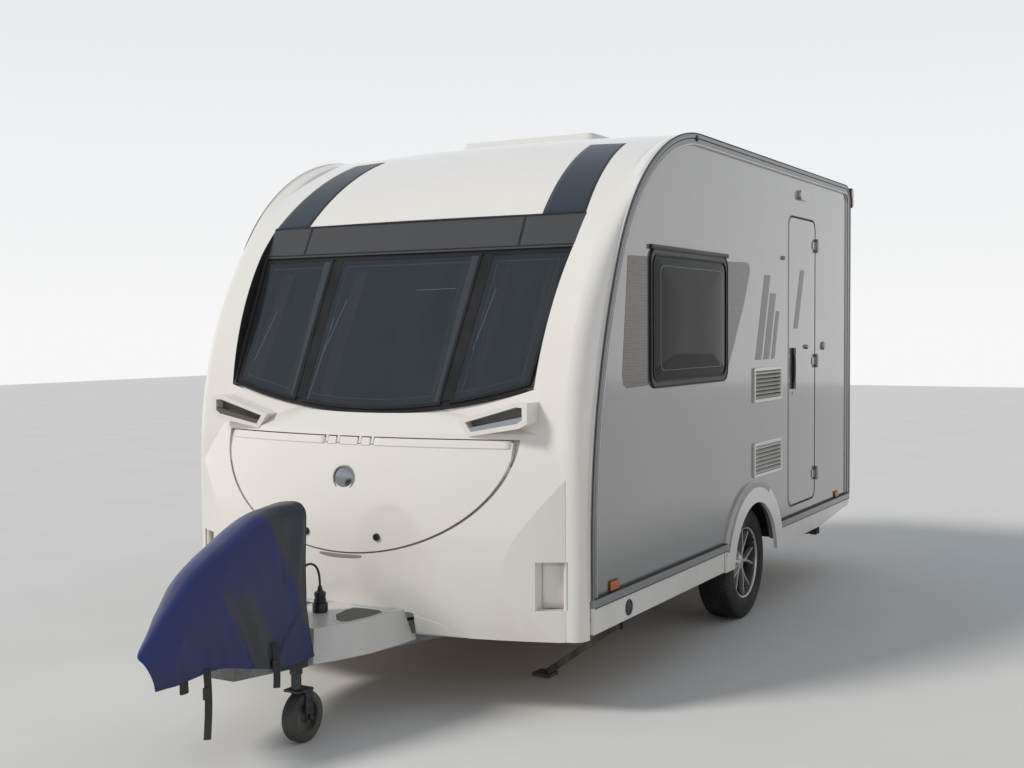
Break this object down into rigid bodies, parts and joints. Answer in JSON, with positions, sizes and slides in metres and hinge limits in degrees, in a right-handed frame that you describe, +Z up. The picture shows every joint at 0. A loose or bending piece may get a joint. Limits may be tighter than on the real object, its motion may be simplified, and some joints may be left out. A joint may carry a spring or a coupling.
{
  "type": "travel caravan",
  "caption": "Small touring caravan with rounded nose, leaning front windows, side door, gas locker lid, steadies, castoring jockey wheel and a cloth cover over the coupling.",
  "frame": {"origin": "bottom centre of the whole caravan's box, on the ground", "axes": "+X towards the side with the entrance door, -Y towards the coupling, +Z up"},
  "size_m": [2.13, 5.5319, 2.66],
  "materials": {
    "shell_white": "gloss",
    "moulding_white": "gloss",
    "tinted_pane": "gloss",
    "black_frame": "satin",
    "dark_band": "gloss",
    "grey_trim": "satin",
    "rail_white": "gloss",
    "floor_board": "matt",
    "hatch_white": "gloss",
    "galvanised": "matt",
    "cast_grey": "matt",
    "tyre": "matt",
    "alloy": "satin",
    "black_plastic": "matt",
    "solid_rubber": "matt",
    "cover_cloth": "satin",
    "webbing": "matt",
    "fairing_grey": "satin",
    "lamp_orange": "gloss",
    "lamp_clear": "gloss",
    "lamp_red": "gloss"
  },
  "bodies": {
    "caravan": {"front_panel": "moulding_white", "front_window_panes": "tinted_pane", "front_window_frame": "black_frame", "header_band": "dark_band", "wall_left": "shell_white", "wall_right": "shell_white", "side_window_panes": "tinted_pane", "side_window_frames": "black_frame", "wall_vents": "moulding_white", "roof": "shell_white", "rooflight": "hatch_white", "rear_panel": "moulding_white", "floor": "floor_board", "wheel_boxes": "black_plastic", "locker_bulkhead": "floor_board", "awning_rails": "rail_white", "skirts": "rail_white", "sill_trims": "grey_trim", "arch_trims": "moulding_white", "front_grips": "grey_trim", "door_hinges": "black_plastic", "chassis_rails": "galvanised", "drawbar": "galvanised", "axle_beam": "galvanised", "trailing_arms": "galvanised", "overrun_housing": "cast_grey", "coupling": "cast_grey", "coupling_handle": "black_plastic", "handbrake_lever": "black_plastic", "jockey_tube": "galvanised", "steady_brackets": "galvanised", "drawbar_fairing": "fairing_grey", "plug": "black_plastic", "plug_socket": "black_plastic", "cable": "black_plastic", "hitch_cover": "cover_cloth", "cover_straps": "webbing", "awning_light": "lamp_clear", "marker_lamps": "lamp_orange", "rear_lamps": "lamp_red", "rear_grips": "black_plastic", "rear_bumper": "moulding_white"},
    "wheel_left": {"tyre_left": "tyre", "rim_left": "alloy"},
    "wheel_right": {"tyre_right": "tyre", "rim_right": "alloy"},
    "door": {"door_leaf": "shell_white", "door_handle": "black_plastic"},
    "locker_lid": {"locker_lid": "moulding_white"},
    "jockey_stem": {"jockey_stem": "galvanised"},
    "jockey_fork": {"jockey_fork": "galvanised"},
    "jockey_wheel": {"jockey_wheel": "solid_rubber"},
    "steady_front_left": {"steady_front_left": "galvanised"},
    "steady_front_right": {"steady_front_right": "galvanised"},
    "steady_rear_left": {"steady_rear_left": "galvanised"},
    "steady_rear_right": {"steady_rear_right": "galvanised"}
  },
  "joints": [
    {"name": "wheel_left_spin", "type": "hinge", "parent": "caravan", "child": "wheel_left", "pos_m": [0.9, 0.834, 0.31], "axis": [1, 0, 0], "continuous": true},
    {"name": "wheel_right_spin", "type": "hinge", "parent": "caravan", "child": "wheel_right", "pos_m": [-0.9, 0.834, 0.31], "axis": [1, 0, 0], "continuous": true},
    {"name": "door_swing", "type": "hinge", "parent": "caravan", "child": "door", "pos_m": [1.057, 1.942, 1.4], "axis": [0, 0, 1], "range_deg": [0, 165]},
    {"name": "locker_lid_swing", "type": "hinge", "parent": "caravan", "child": "locker_lid", "pos_m": [0, -1.455, 1.131], "axis": [-1, 0, 0], "range_deg": [0, 75]},
    {"name": "jockey_stem_slide", "type": "slide", "parent": "caravan", "child": "jockey_stem", "axis": [0, 0, 1], "range_m": [0, 0.055]},
    {"name": "jockey_castor", "type": "hinge", "parent": "jockey_stem", "child": "jockey_fork", "pos_m": [0.185, -2.066, 0.21], "axis": [0, 0, 1], "continuous": true},
    {"name": "jockey_wheel_spin", "type": "hinge", "parent": "jockey_fork", "child": "jockey_wheel", "pos_m": [0.185, -2.031, 0.1], "axis": [1, 0, 0], "continuous": true},
    {"name": "steady_front_left_swing", "type": "hinge", "parent": "caravan", "child": "steady_front_left", "pos_m": [0.93, -0.736, 0.27], "axis": [0, 1, 0], "range_deg": [0, 28.79]},
    {"name": "steady_front_right_swing", "type": "hinge", "parent": "caravan", "child": "steady_front_right", "pos_m": [-0.93, -0.736, 0.27], "axis": [0, -1, 0], "range_deg": [0, 28.79]},
    {"name": "steady_rear_left_swing", "type": "hinge", "parent": "caravan", "child": "steady_rear_left", "pos_m": [0.93, 2.334, 0.27], "axis": [0, 1, 0], "range_deg": [-28.79, 0]},
    {"name": "steady_rear_right_swing", "type": "hinge", "parent": "caravan", "child": "steady_rear_right", "pos_m": [-0.93, 2.334, 0.27], "axis": [0, -1, 0], "range_deg": [-28.79, 0]}
  ]
}
